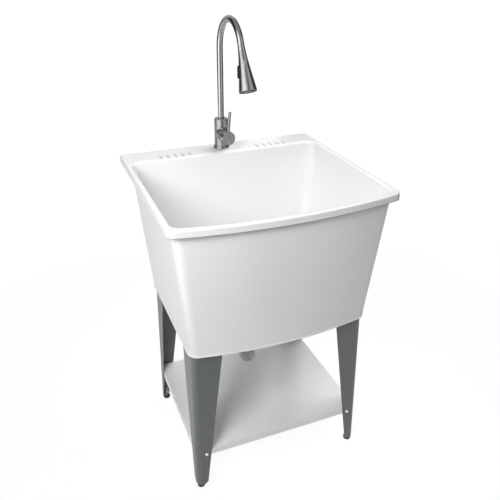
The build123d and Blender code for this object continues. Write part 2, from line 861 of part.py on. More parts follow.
export_step(valve_core.part, "parts/valve_core.step")

deck_underside = rim_underside
with BuildPart() as mounting_stud:
    with BuildSketch(faucet_plane.offset(core_bottom + stud_grip)):
        with Locations((0, -stud_circle)):
            Circle(stud_radius)
    extrude(amount=-stud_length)
    chamfer(mounting_stud.edges().group_by(Axis.Z)[0], stud_radius / 4)
mounting_stud.part.label = "mounting_stud"
export_step(mounting_stud.part, "parts/mounting_stud.step")


def clamp_face(z):
    # horseshoe open to the back, with a tongue for the stud
    with BuildSketch(faucet_plane.offset(z)) as plate:
        Circle(pad_plate_radius)
        Circle(deck_hole_radius, mode=Mode.SUBTRACT)
        with Locations((0, pad_plate_radius)):
            Rectangle(deck_hole_radius, 2 * (pad_plate_radius - stud_circle), mode=Mode.SUBTRACT)
        with Locations((0, -(stud_circle + pad_plate_radius) / 2 + stud_radius)):
            Rectangle(4 * stud_radius, pad_plate_radius - stud_circle)
        with Locations((0, -stud_circle)):
            Circle(2 * stud_radius)
            Circle(stud_radius + thread_gap, mode=Mode.SUBTRACT)
    return plate.sketch


with BuildPart() as rubber_pad:
    extrude(clamp_face(deck_underside), amount=-rubber_pad_thickness)
rubber_pad.part.label = "rubber_pad"
export_step(rubber_pad.part, "parts/rubber_pad.step")

with BuildPart() as clamp_plate:
    extrude(clamp_face(deck_underside - rubber_pad_thickness), amount=-clamp_plate_thickness)
clamp_plate.part.label = "clamp_plate"
export_step(clamp_plate.part, "parts/clamp_plate.step")

with BuildPart() as clamp_nut:
    clamp_seat = deck_underside - rubber_pad_thickness - clamp_plate_thickness
    with BuildSketch(faucet_plane.offset(clamp_seat)):
        with Locations((0, -stud_circle)):
            RegularPolygon(clamp_nut_flats / 2, 6, major_radius=False)
            Circle(stud_radius + screw_seat_gap, mode=Mode.SUBTRACT)
    extrude(amount=-clamp_nut_height)
clamp_nut.part.label = "clamp_nut"
export_step(clamp_nut.part, "parts/clamp_nut.step")

# ---------------------------------------------------------------- cartridge and handle
with BuildPart() as cartridge_housing:
    with BuildSketch(hub_plane.offset(-cartridge_back)):
        Circle(cartridge_radius)
    extrude(amount=cartridge_back + neck_back)
    with BuildSketch(hub_plane.offset(-cartridge_back)):
        Circle(neck_radius)
    extrude(amount=cartridge_back + neck_front)
    with BuildSketch(hub_plane.offset(-carriage_depth - turn_gap)):
        Circle(carriage_radius + turn_gap)
    extrude(amount=cartridge_back, mode=Mode.SUBTRACT)
cartridge_housing.part.label = "cartridge_housing"
export_step(cartridge_housing.part, "parts/cartridge_housing.step")

with BuildPart() as cartridge_nut:
    with BuildSketch(hub_plane.offset(neck_back)):
        Circle(cartridge_radius + core_gap + dome_wall / 2)
        Circle(neck_radius + thread_gap, mode=Mode.SUBTRACT)
    extrude(amount=retainer_height)
cartridge_nut.part.label = "cartridge_nut"
export_step(cartridge_nut.part, "parts/cartridge_nut.step")

slot_width = stem_bar + 2 * slot_gap
with BuildPart() as cartridge_carriage:
    with BuildSketch(hub_plane.offset(-carriage_depth)):
        Circle(carriage_radius)
    extrude(amount=carriage_depth + carriage_nose)
    with BuildSketch(hub_plane.offset(-carriage_depth)):
        Rectangle(slot_width, 2 * slot_height)
    extrude(amount=carriage_depth + carriage_nose, mode=Mode.SUBTRACT)
    with Locations(Plane(origin=pivot, z_dir=(1, 0, 0))):
        Cylinder(pivot_pin_radius + turn_gap / 2, 4 * carriage_radius, mode=Mode.SUBTRACT)
cartridge_carriage.part.label = "cartridge_carriage"
export_step(cartridge_carriage.part, "parts/cartridge_carriage.step")

with BuildPart() as lever_pin:
    with Locations(Plane(origin=pivot, z_dir=(1, 0, 0))):
        Cylinder(pivot_pin_radius, 2 * carriage_radius - 2 * slot_gap)
lever_pin.part.label = "lever_pin"
export_step(lever_pin.part, "parts/lever_pin.step")

with BuildPart() as cartridge_stem:
    with BuildSketch(hub_plane.offset(-stem_bar_tail)):
        Rectangle(stem_bar, stem_bar)
    extrude(amount=stem_bar_tail + stem_bar_nose)
    with Locations(Plane(origin=pivot, z_dir=(1, 0, 0))):
        Cylinder(pivot_pin_radius + turn_gap, 2 * stem_bar, mode=Mode.SUBTRACT)
cartridge_stem.part.label = "cartridge_stem"
export_step(cartridge_stem.part, "parts/cartridge_stem.step")

with BuildPart() as valve_dome:
    with BuildSketch(hub_plane.offset(hub_end)):
        Circle(hub_radius)
    extrude(amount=hub_ring)
    with BuildSketch(hub_plane.offset(skirt_back)):
        Circle(hub_radius - hub_wall - core_gap)
    extrude(amount=dome_skirt_length)
    with Locations(pivot):
        Sphere(dome_radius)
    with Locations(hub_plane.offset(skirt_back)):
        Cylinder(
            2 * hub_radius,
            2 * hub_radius,
            align=(Align.CENTER, Align.CENTER, Align.MAX),
            mode=Mode.SUBTRACT,
        )
        Cylinder(
            dome_radius - dome_wall,
            -skirt_back,
            align=(Align.CENTER, Align.CENTER, Align.MIN),
            mode=Mode.SUBTRACT,
        )
    with Locations(pivot):
        Sphere(dome_radius - dome_wall, mode=Mode.SUBTRACT)
    with BuildSketch(hub_plane):
        Circle(dome_mouth_radius)
    extrude(amount=2 * dome_radius, mode=Mode.SUBTRACT)
valve_dome.part.label = "valve_dome"
export_step(valve_dome.part, "parts/valve_dome.step")

lever_foot_w = cap_face - lever_root_inset
lever_tilt = radians(lever_lean)
lever_way = (0, -sin(lever_tilt), cos(lever_tilt))
lever_base = (0, pivot_y - lever_foot_w, hub_z + cap_radius - lever_socket)
lever_plane = Plane(origin=lever_base, x_dir=(1, 0, 0), z_dir=lever_way)
set_screw_plane = Plane((0, pivot_y - lever_foot_w, hub_z - cap_radius))
with BuildPart() as handle_cap:
    with BuildSketch(hub_plane.offset(cap_rim)):
        Circle(cap_radius)
    extrude(amount=cap_length)
    fillet(handle_cap.edges().sort_by(Axis.Y)[0], cap_edge)
    with Locations(pivot):
        Sphere(dome_radius + cap_gap, mode=Mode.SUBTRACT)
    with BuildSketch(hub_plane.offset(cap_rim)):
        Rectangle(stem_bar + 2 * turn_gap, stem_bar + 2 * turn_gap)
    extrude(amount=stem_bar_nose - cap_rim, mode=Mode.SUBTRACT)
    with BuildSketch(lever_plane):
        Circle(lever_radius + turn_gap)
    extrude(amount=cap_radius, mode=Mode.SUBTRACT)
    with BuildSketch(set_screw_plane):
        Circle(set_screw_radius + turn_gap)
    extrude(amount=cap_radius, mode=Mode.SUBTRACT)
handle_cap.part.label = "handle_cap"
export_step(handle_cap.part, "parts/handle_cap.step")

with BuildPart() as lever:
    with BuildSketch(lever_plane):
        Circle(lever_radius)
    extrude(amount=lever_length + lever_socket)
    fillet(lever.edges().sort_by(Axis.Z)[-1], lever_tip_round)
lever.part.label = "lever"
export_step(lever.part, "parts/lever.step")

screw_top = cap_radius - stem_bar / 2
with BuildPart() as handle_screw:
    with BuildSketch(set_screw_plane.offset(screw_top - turn_gap)):
        Circle(set_screw_radius)
    extrude(amount=-set_screw_length)
    with BuildSketch(set_screw_plane.offset(screw_top - set_screw_length)):
        RegularPolygon(set_screw_radius / 2, 6, major_radius=False)
    extrude(amount=set_screw_radius, mode=Mode.SUBTRACT)
handle_screw.part.label = "handle_screw"
export_step(handle_screw.part, "parts/handle_screw.step")

with BuildPart() as screw_plug:
    with BuildSketch(set_screw_plane.offset(screw_top - set_screw_length - 2 * turn_gap)):
        Circle(set_screw_radius)
    extrude(amount=-(screw_top - set_screw_length - 4 * turn_gap))
screw_plug.part.label = "screw_plug"
export_step(screw_plug.part, "parts/screw_plug.step")

# ---------------------------------------------------------------- gooseneck
turn = radians(outlet_angle)
arch_centre_y = faucet_y - arch_radius
arch_end = (
    0,
    arch_centre_y - arch_radius * cos(turn),
    riser_top + arch_radius * sin(turn),
)
outlet_way = (0, -sin(turn), -cos(turn))
dock = (
    0,
    arch_end[1] - outlet_straight * sin(turn),
    arch_end[2] - outlet_straight * cos(turn),
)
# distances along the outlet, measured down from the end of the gooseneck
outlet_plane = Plane(origin=dock, x_dir=(1, 0, 0), z_dir=outlet_way)
outlet_section = Plane(origin=dock, x_dir=(0, cos(turn), -sin(turn)), z_dir=(-1, 0, 0))
outlet_axis = Axis(dock, outlet_way)
tube_bottom = bush_bottom - tube_stop_height - head_gap


def gooseneck_path(bottom):
    with BuildLine(Plane.YZ) as path:
        riser = Line((faucet_y, bottom), (faucet_y, riser_top))
        arch = CenterArc((arch_centre_y, riser_top), arch_radius, 0, 180 - outlet_angle)
        Line(arch @ 1, (dock[1], dock[2]))
    return path.line


def tube_along(bottom, radius):
    with BuildSketch(faucet_plane.offset(bottom)) as section:
        Circle(radius)
    return sweep(section.sketch, path=gooseneck_path(bottom))


with BuildPart() as spout_bush:
    with BuildSketch(faucet_plane.offset(bush_bottom)):
        Circle(bore_radius - head_gap / 2)
        Circle(tube_radius + tube_swivel_gap, mode=Mode.SUBTRACT)
    extrude(amount=bush_height)
spout_bush.part.label = "spout_bush"
export_step(spout_bush.part, "parts/spout_bush.step")

with BuildPart() as spout_tube:
    tube_along(tube_bottom, tube_radius)
    with BuildSketch(faucet_plane.offset(tube_bottom)):
        Circle(tube_radius - tube_wall)
    sweep(path=gooseneck_path(tube_bottom), mode=Mode.SUBTRACT)
spout_tube.part.label = "spout_tube"
export_step(spout_tube.part, "parts/spout_tube.step")

with BuildPart() as tube_stop:
    with BuildSketch(faucet_plane.offset(tube_bottom)):
        Circle(tube_stop_radius)
        Circle(tube_radius + turn_gap / 2, mode=Mode.SUBTRACT)
    extrude(amount=tube_stop_height)
tube_stop.part.label = "tube_stop"
export_step(tube_stop.part, "parts/tube_stop.step")

with BuildPart() as docking_collar:
    with BuildSketch(outlet_plane.offset(-dock_depth)):
        Circle(tube_radius - tube_wall - turn_gap)
    extrude(amount=dock_depth)
    with BuildSketch(outlet_plane):
        Circle(tube_radius)
    extrude(amount=dock_lip)
    with BuildSketch(outlet_plane.offset(-dock_depth)):
        Circle(dock_radius)
    extrude(amount=dock_depth + dock_lip, mode=Mode.SUBTRACT)
docking_collar.part.label = "docking_collar"
export_step(docking_collar.part, "parts/docking_collar.step")

head_top = dock_lip + head_gap
head_end = head_top + head_length
hose_bottom = core_bottom - hose_below_core
with BuildPart() as pull_hose:
    with BuildSketch(faucet_plane.offset(hose_bottom)):
        Circle(hose_radius)
    sweep(path=gooseneck_path(hose_bottom))
    with BuildSketch(outlet_plane):
        Circle(hose_radius)
    extrude(amount=head_top)
pull_hose.part.label = "pull_hose"
export_step(pull_hose.part, "parts/pull_hose.step")

# ---------------------------------------------------------------- spray head
def shell_radius(distance):
    # outer radius of the head at a distance below its top
    share = distance / head_length
    blend = 3 * share**2 - 2 * share**3
    spread = head_spread * head_length * (share - 2 * share**2 + share**3)
    flare = head_flare * head_length * (share**3 - share**2)
    return head_neck_radius + (head_mouth_radius - head_neck_radius) * blend + spread + flare


def head_outline(inset, top, end):
    # half section of the head between two distances, inset from its outer wall
    with BuildSketch(outlet_section) as half:
        with BuildLine():
            curve = Spline(
                (head_neck_radius - inset, head_top),
                (head_mouth_radius - inset, head_end),
                tangents=((head_spread, 1), (head_flare, 1)),
            )
            Polyline(curve @ 1, (0, head_end), (0, head_top), curve @ 0)
        make_face()
        with Locations((0, (top + end) / 2)):
            Rectangle(4 * head_mouth_radius, end - top, mode=Mode.INTERSECT)
    return half.sketch


# the button faces straight out of the sloping left side of the shell
button_low = shell_radius(button_from_dock - head_top + button_length / 2)
button_high = shell_radius(button_from_dock - head_top - button_length / 2)
button_slope = atan2(button_low - button_high, button_length)
button_plane = Plane(
    origin=outlet_plane.from_local_coords((0, 0, button_from_dock)),
    x_dir=(-sin(button_slope), *(cos(button_slope) * way for way in outlet_way[1:])),
    z_dir=(-cos(button_slope), *(-sin(button_slope) * way for way in outlet_way[1:])),
)

with BuildPart() as spray_shell:
    revolve(head_outline(0, head_top, head_end), axis=outlet_axis)
    fillet(spray_shell.edges().sort_by(outlet_axis)[-1], head_wall / 4)
    revolve(
        head_outline(head_wall, head_top + head_wall, head_end),
        axis=outlet_axis,
        mode=Mode.SUBTRACT,
    )
    with BuildSketch(outlet_plane):
        Circle(hose_nut_radius + turn_gap)
    extrude(amount=head_length / 2, mode=Mode.SUBTRACT)
    with BuildSketch(button_plane):
        SlotOverall(button_length + 2 * button_gap, button_width + 2 * button_gap)
    extrude(amount=2 * head_mouth_radius, mode=Mode.SUBTRACT)
spray_shell.part.label = "spray_shell"
export_step(spray_shell.part, "parts/spray_shell.step")

hose_nut_end = head_top + hose_nut_length
face_back = head_end - face_inset - face_thickness
manifold_back = face_back - manifold_height
with BuildPart() as hose_nut:
    with BuildSketch(outlet_plane.offset(head_top)):
        Circle(hose_nut_radius)
        Circle(hose_radius / 2, mode=Mode.SUBTRACT)
    extrude(amount=hose_nut_length)
hose_nut.part.label = "hose_nut"
export_step(hose_nut.part, "parts/hose_nut.step")

with BuildPart() as spray_core:
    with BuildSketch(outlet_plane.offset(hose_nut_end)):
        Circle(spigot_radius)
    extrude(amount=manifold_back - hose_nut_end)
    revolve(head_outline(head_wall + face_gap, manifold_back, face_back), axis=outlet_axis)
    with BuildSketch(outlet_plane.offset(hose_nut_end)):
        Circle(hose_radius / 2)
    extrude(amount=face_back - hose_nut_end, mode=Mode.SUBTRACT)
spray_core.part.label = "spray_core"
export_step(spray_core.part, "parts/spray_core.step")

with BuildPart() as spray_face:
    revolve(head_outline(head_wall + face_gap, face_back, head_end - face_inset), axis=outlet_axis)
    with BuildSketch(outlet_plane.offset(face_back)):
        Circle(aerator_radius + turn_gap)
    extrude(amount=2 * face_thickness, mode=Mode.SUBTRACT)
spray_face.part.label = "spray_face"
export_step(spray_face.part, "parts/spray_face.step")

with BuildPart() as spray_nozzles:
    with BuildSketch(outlet_plane.offset(head_end - face_inset)):
        for circle_radius, nozzle_count in nozzle_rings:
            with PolarLocations(circle_radius, nozzle_count):
                Circle(nozzle_radius)
    extrude(amount=nozzle_height, taper=nozzle_taper)
spray_nozzles.part.label = "spray_nozzles"
export_step(spray_nozzles.part, "parts/spray_nozzles.step")

with BuildPart() as aerator:
    with BuildSketch(outlet_plane.offset(face_back)):
        Circle(aerator_radius)
    extrude(amount=face_thickness + aerator_proud)
    fillet(aerator.edges().sort_by(outlet_axis)[-1], aerator_proud / 2)
    with BuildSketch(outlet_plane.offset(face_back)):
        Circle(hose_radius / 2)
    extrude(amount=2 * face_thickness, mode=Mode.SUBTRACT)
aerator.part.label = "aerator"
export_step(aerator.part, "parts/aerator.step")

button_inner = spigot_radius + button_travel + button_gap + button_length / 2 * sin(button_slope)
button_outer = (button_low + button_high) / 2 * cos(button_slope) + button_proud
with BuildPart() as spray_button:
    with BuildSketch(button_plane.offset(button_inner)):
        SlotOverall(button_length, button_width)
    extrude(amount=button_outer - button_inner)
    fillet(spray_button.faces().sort_by(Axis(dock, button_plane.z_dir))[-1].edges(), button_round)
spray_button.part.label = "spray_button"
export_step(spray_button.part, "parts/spray_button.step")
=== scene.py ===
import json
from math import radians, tau

import bmesh
import bpy
from mathutils import Euler, Matrix, Vector


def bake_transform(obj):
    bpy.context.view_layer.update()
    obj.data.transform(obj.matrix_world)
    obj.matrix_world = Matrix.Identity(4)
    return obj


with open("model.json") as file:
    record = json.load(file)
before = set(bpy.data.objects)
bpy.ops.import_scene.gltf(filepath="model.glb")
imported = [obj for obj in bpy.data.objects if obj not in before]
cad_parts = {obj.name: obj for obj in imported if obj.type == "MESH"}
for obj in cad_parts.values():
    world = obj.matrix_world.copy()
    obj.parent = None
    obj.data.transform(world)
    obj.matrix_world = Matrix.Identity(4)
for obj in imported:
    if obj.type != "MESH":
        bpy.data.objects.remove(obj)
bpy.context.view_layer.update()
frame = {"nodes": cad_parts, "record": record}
scene = bpy.context.scene
nodes = frame["nodes"]
print("frame loaded,", len(nodes), "nodes")

# the camera stands front left of the sink and looks down at it
cameraView = {
    "place": (-0.5509, -1.3282, 1.4113),
    "azimuth": -22.03,    # degrees, turned to the right
    "elevation": 28.69,   # degrees above the subject
    "roll": 0.304,
    "lens": 40.69,
    "shift": (0.0055, 0.0015),
}
cameraData = bpy.data.cameras.new("photoCamera")
camera = bpy.data.objects.new("photoCamera", cameraData)
scene.collection.objects.link(camera)
turn = Euler((radians(90 - cameraView["elevation"]), 0, radians(cameraView["azimuth"]))).to_matrix()
turn = turn @ Matrix.Rotation(radians(cameraView["roll"]), 3, "Z")
camera.matrix_world = Matrix.Translation(cameraView["place"]) @ turn.to_4x4()
cameraData.sensor_width = 36
cameraData.lens = cameraView["lens"]
cameraData.shift_x, cameraData.shift_y = cameraView["shift"]
cameraData.clip_end = 200
scene.camera = camera
scene.view_settings.view_transform = "Standard"
print("camera set")


class Channel:  # a node's output that takes part in sums
    def __init__(self, wiring, socket):
        self.wiring = wiring
        self.socket = socket

    def output(self, name):  # another output of the same node
        return Channel(self.wiring, self.socket.node.outputs[name])

    def __add__(self, other):
        return self.wiring.maths("ADD", self, other)

    def __sub__(self, other):
        return self.wiring.maths("SUBTRACT", self, other)

    def __rsub__(self, other):
        return self.wiring.maths("SUBTRACT", other, self)

    def __mul__(self, other):
        return self.wiring.maths("MULTIPLY", self, other)

    def __truediv__(self, other):
        return self.wiring.maths("DIVIDE", self, other)

    __radd__ = __add__
    __rmul__ = __mul__


class Wiring:  # makes and joins the nodes of one tree
    def __init__(self, tree):
        self.tree = tree

    def node(self, kind, settings=None, values=None):
        made = self.tree.nodes.new("ShaderNode" + kind)
        for setting, value in (settings or {}).items():
            setattr(made, setting, value)
        for socket, value in (values or {}).items():
            self.feed(made.inputs[socket], value)
        return Channel(self, made.outputs[0]) if made.outputs else made

    def feed(self, socket, value):
        if isinstance(value, Channel):
            self.tree.links.new(value.socket, socket)
        elif socket.type == "RGBA":
            socket.default_value = (*value, 1)
        else:
            socket.default_value = value

    def maths(self, operation, *values):
        return self.node("Math", {"operation": operation}, dict(enumerate(values)))


class Finish(Wiring):  # one procedural material
    def __init__(self, name, **fixed):
        self.material = bpy.data.materials.new(name)
        self.material.use_nodes = True
        super().__init__(self.material.node_tree)
        self.tree.nodes.clear()
        self.paint = self.node("BsdfPrincipled")
        self.surface = self.node("OutputMaterial", values={"Surface": self.paint})
        for socket, value in fixed.items():
            self.set(socket.replace("_", " "), value)

    def set(self, socket, value):
        self.feed(self.paint.socket.node.inputs[socket], value)

    def where(self):  # object coordinates, in metres
        return self.node("TexCoord").output("Object")

    def axes(self, vector):
        parts = self.node("SeparateXYZ", values={"Vector": vector})
        return parts.output("X"), parts.output("Y"), parts.output("Z")

    def vector(self, *values):
        return self.node("CombineXYZ", values=dict(enumerate(values)))

    def noise(self, where, scale, detail, rough=0.5):
        return self.node("TexNoise", values={
            "Vector": where, "Scale": scale, "Detail": detail, "Roughness": rough})

    def ramp(self, value, low, high, start=0.0, end=1.0):
        settings = {"clamp": True, "interpolation_type": "SMOOTHSTEP"}
        return self.node("MapRange", settings, {0: value, 1: low, 2: high, 3: start, 4: end})

    def band(self, value, foot, low, high, top):  # 1 from low to high, 0 below foot and above top
        return self.ramp(value, foot, low) * self.ramp(value, high, top, 1, 0)

    def mix(self, factor, first, second):  # colours
        return self.node("Mix", {"data_type": "RGBA"}, {0: factor, 6: first, 7: second}).output(2)

    def bump(self, height, distance, strength):
        return self.node("Bump", values={
            "Strength": strength, "Distance": distance, "Height": height})


tubWhite = {
    "color": (0.925, 0.93, 0.936),
    "shade": (0.905, 0.91, 0.917),
    "flow": 5,            # broad flow marks of the moulding, per metre
    "peel": 900,          # fine unevenness, per metre
    "depth": 0.00004,
    "rough": 0.2,
    "coat": 0.25,
    "seam": 0.51,         # height of a faint darker, slightly sunk line on the outer walls
    "seamWidth": 0.0007,
    "seamColor": (0.62, 0.63, 0.645),
    "seamShare": 0.55,
    "seamDepth": 4,       # times the fine unevenness
    "drainY": 0.03,
    "drainClear": (0.015, 0.02),  # squared distances from the drain between which it comes in
    # painted shade: the drying grooves are coloured darker, standing in for their shade; all of it
    # between a band's inner two numbers
    "grooveHeights": (0.856, 0.8568, 0.8589, 0.8599),
    "grooveSides": (0.085, 0.089, 0.215, 0.219),
    "grooveRun": (0.213, 0.215, 0.256, 0.258),
    "grooveShadeColor": (0.6, 0.605, 0.61),
    # painted shadow: a thin dark line along the foot of the turned-down lip, standing in for the
    # shadow under it
    "lipHeights": (0.839, 0.8395, 0.8422, 0.843),
    "lipBow": 0.355,      # the front wall's bow, per metre
    "lipFront": (0.2765, 0.2785),
    "lipSides": (0.2945, 0.2965),
    "lipSideShare": 0.4,
    "lipShadowColor": (0.25, 0.25, 0.26),
}


def mouldedWhite(name, look):
    finish = Finish(name, IOR=1.49, Coat_Weight=look["coat"], Coat_Roughness=0.06)
    where = finish.where()
    x, y, height = finish.axes(where)
    side = finish.maths("ABSOLUTE", x)
    broad = finish.noise(where, look["flow"], 2)
    fine = finish.noise(where, look["peel"], 2)
    fromDrain = y - look["drainY"]
    fromSeam = finish.maths("ABSOLUTE", height - look["seam"])
    seam = finish.ramp(fromSeam, 0, look["seamWidth"], 1, 0)
    seam = seam * finish.ramp(x * x + fromDrain * fromDrain, *look["drainClear"])
    # painted shade: darker colour down in the drying grooves
    grooveShade = finish.band(height, *look["grooveHeights"])
    grooveShade = grooveShade * finish.band(side, *look["grooveSides"]) * finish.band(y, *look["grooveRun"])
    # painted shadow: a dark line along the foot of the lip
    front = finish.ramp(x * x * look["lipBow"] - y, *look["lipFront"])
    sides = finish.ramp(side, *look["lipSides"]) * look["lipSideShare"]
    lipShadow = finish.maths("MAXIMUM", front, sides) * finish.band(height, *look["lipHeights"])
    color = finish.mix(broad, look["color"], look["shade"])
    color = finish.mix(grooveShade, color, look["grooveShadeColor"])
    color = finish.mix(lipShadow, color, look["lipShadowColor"])
    finish.set("Base Color", finish.mix(seam * look["seamShare"], color, look["seamColor"]))
    finish.set("Roughness", look["rough"] + 0.06 * broad + 0.03 * fine)
    finish.set("Normal", finish.bump(fine - seam * look["seamDepth"], look["depth"], 0.25))
    return finish.material


def paintedSteel(name, look):
    finish = Finish(name, IOR=1.5, Coat_Weight=look["coat"], Coat_Roughness=0.15)
    where = finish.where()
    broad = finish.noise(where, look["cloud"], 3)
    grain = finish.noise(where, look["grain"], 2)
    finish.set("Base Color", finish.mix(broad, look["color"], look["shade"]))
    finish.set("Roughness", look["rough"] + 0.1 * grain)
    finish.set("Normal", finish.bump(grain, look["depth"], 0.4))
    return finish.material


def brushed(name, look, line):
    finish = Finish(name, Metallic=1.0, Anisotropic=look["streak"], Anisotropic_Rotation=0.25)
    where = line(finish)
    scratches = finish.noise(where, 1, 4, 0.7)
    stretched = finish.node("VectorMath", {"operation": "SCALE"}, {0: where, "Scale": 0.2})
    smears = finish.noise(stretched, 1, 2)
    marks = scratches * 0.6 + smears * 0.4
    finish.set("Base Color", finish.mix(marks, look["color"], look["shade"]))
    finish.set("Roughness", look["rough"] + look["spread"] * (scratches + smears - 1))
    finish.set("Normal", finish.bump(scratches, look["depth"], 0.35))
    return finish.material


def plainPlastic(name, look):
    finish = Finish(name, IOR=look.get("IOR", 1.5))
    where = finish.where()
    grain = finish.noise(where, look["grain"], 3)
    broad = finish.noise(where, 40, 2)
    finish.set("Base Color", finish.mix(broad, look["color"], look["shade"]))
    finish.set("Roughness", look["rough"] + 0.12 * grain)
    finish.set("Normal", finish.bump(grain, look["depth"], 0.4))
    return finish.material


nickel = {
    "color": (0.36, 0.36, 0.36),
    "shade": (0.34, 0.34, 0.34),
    "fine": 3200,         # brush marks per metre, across them
    "long": 18,           # and along them
    "even": 800,          # grain of the metals that aren't brushed
    "rough": 0.33,
    "spread": 0.02,
    "streak": 0.9,        # how far highlights draw out across the marks
    "depth": 0.000002,
    "archCentre": (0.163, 1.149),  # y and z of the gooseneck's bend
    "archRadius": 0.085,
    "headLean": 25,       # degrees
}


def alongTube(finish):  # marks run along the riser and round the arch
    x, y, z = finish.axes(finish.where())
    centreY, centreZ = nickel["archCentre"]
    rise = finish.maths("MAXIMUM", z - centreZ, 0.0)
    out = y - centreY
    reach = finish.maths("SQRT", out * out + rise * rise)
    bend = finish.maths("ARCTAN2", rise, out) * nickel["archRadius"]
    along = bend + finish.maths("MINIMUM", z, centreZ)
    return finish.vector(x * nickel["fine"], reach * nickel["fine"], along * nickel["long"])


def roundUpright(finish):  # marks of turning about an upright axis
    return finish.node("Mapping", values={
        "Vector": finish.where(), "Scale": (nickel["long"], nickel["long"], nickel["fine"])})


def roundLevel(finish):  # marks of turning about the valve's axis
    return finish.node("Mapping", values={
        "Vector": finish.where(), "Scale": (nickel["long"], nickel["fine"], nickel["long"])})


def roundHead(finish):  # marks of turning about the leaning spray head
    level = finish.node("Mapping", values={
        "Vector": finish.where(), "Rotation": (radians(nickel["headLean"]), 0, 0)})
    return finish.node("Mapping", values={
        "Vector": level, "Scale": (nickel["long"], nickel["long"], nickel["fine"])})


def everyWay(finish):  # grain with no direction
    return finish.node("Mapping", values={"Vector": finish.where(), "Scale": [nickel["even"]] * 3})


def threaded(name, look, centre):
    finish = Finish(name, Metallic=look["metal"], IOR=1.5)
    where = finish.where()
    x, y, z = finish.axes(where)
    bearing = finish.maths("ARCTAN2", y - centre[1], x - centre[0]) / tau
    tooth = finish.maths("PINGPONG", z / look["pitch"] + bearing, 0.5) * 2
    grain = finish.noise(where, 700, 2)
    foot, top, runOut = look["foot"], look["top"], look["runOut"]
    cut = finish.band(z, foot, foot + runOut, top - runOut, top)
    # painted shade: the thread's roots take the darker shade colour
    finish.set("Base Color", finish.mix((1 - tooth) * cut, look["color"], look["shade"]))
    finish.set("Roughness", look["rough"] + 0.1 * grain)
    finish.set("Normal", finish.bump(tooth * cut, look["depth"], 1.0))
    return finish.material


plainLooks = {
    "shelf_white": (paintedSteel, {
        "color": (0.91, 0.915, 0.91), "shade": (0.89, 0.895, 0.89),
        "cloud": 9, "grain": 1400, "depth": 0.00004, "rough": 0.24, "coat": 0.3}),
    "leg_paint": (paintedSteel, {
        "color": (0.132, 0.142, 0.146), "shade": (0.122, 0.132, 0.136),
        "cloud": 9, "grain": 1500, "depth": 0.00006, "rough": 0.4, "coat": 0.1}),
    "foot_black": (plainPlastic, {
        "color": (0.012, 0.012, 0.013), "shade": (0.02, 0.02, 0.02),
        "grain": 2200, "depth": 0.00004, "rough": 0.35}),
    "black_rubber": (plainPlastic, {
        "color": (0.015, 0.015, 0.016), "shade": (0.022, 0.022, 0.022),
        "grain": 2600, "depth": 0.00005, "rough": 0.6}),
    "drain_plastic": (plainPlastic, {
        "color": (0.7, 0.71, 0.72), "shade": (0.66, 0.67, 0.68),
        "grain": 1600, "depth": 0.00003, "rough": 0.32}),
    "white_washer": (plainPlastic, {
        "color": (0.78, 0.78, 0.76), "shade": (0.74, 0.74, 0.72),
        "grain": 1600, "depth": 0.00003, "rough": 0.45}),
    "valve_plastic": (plainPlastic, {
        "color": (0.62, 0.62, 0.58), "shade": (0.58, 0.58, 0.55),
        "grain": 1600, "depth": 0.00003, "rough": 0.4}),
    "dark_plastic": (plainPlastic, {
        "color": (0.018, 0.018, 0.02), "shade": (0.028, 0.028, 0.03),
        "grain": 2000, "depth": 0.00003, "rough": 0.4, "IOR": 1.15}),
    "hose_sleeve": (plainPlastic, {
        "color": (0.06, 0.062, 0.066), "shade": (0.12, 0.125, 0.13),
        "grain": 2400, "depth": 0.0001, "rough": 0.55}),
    "nozzle_rubber": (plainPlastic, {
        "color": (0.42, 0.425, 0.43), "shade": (0.38, 0.385, 0.39),
        "grain": 2400, "depth": 0.00003, "rough": 0.5}),
    "aerator_gray": (plainPlastic, {
        "color": (0.42, 0.43, 0.44), "shade": (0.36, 0.37, 0.38),
        "grain": 2400, "depth": 0.00003, "rough": 0.4}),
}
metalLooks = {
    "bright_screw": {"color": (0.8, 0.8, 0.8), "shade": (0.7, 0.7, 0.7),
                     "rough": 0.2, "spread": 0.05, "streak": 0.0, "depth": 0.00001},
    "zinc": {"color": (0.62, 0.63, 0.64), "shade": (0.5, 0.51, 0.53),
             "rough": 0.35, "spread": 0.1, "streak": 0.0, "depth": 0.00002},
    "brass": {"color": (0.72, 0.5, 0.2), "shade": (0.6, 0.4, 0.15),
              "rough": 0.3, "spread": 0.06, "streak": 0.0, "depth": 0.00002},
}
calmNickel = dict(nickel, streak=0.0, rough=0.26)
tubeNickel = dict(nickel, streak=0.0, rough=0.19)
brushWays = {
    "spout_tube": alongTube,
    "docking_collar": roundHead,
    "faucet_body": roundUpright,
    "base_ring": roundUpright,
    "valve_dome": roundLevel,
    "handle_cap": roundLevel,
    "lever": roundUpright,
    "spray_shell": roundHead,
}
finishes = {slot: make(slot, look) for slot, (make, look) in plainLooks.items()}
finishes["tub_white"] = mouldedWhite("tub_white", tubWhite)
for slot, look in metalLooks.items():
    finishes[slot] = brushed(slot, look, everyWay)
for part in frame["record"]["subparts"]:
    node = part["node"]
    material = finishes.get(part["material_slot"])
    if node in brushWays:
        look = {alongTube: tubeNickel, roundLevel: calmNickel}.get(brushWays[node], nickel)
        material = brushed("nickel_" + node, look, brushWays[node])
    nodes[node].data.materials.clear()
    nodes[node].data.materials.append(material)
print("finishes:", len(bpy.data.materials))

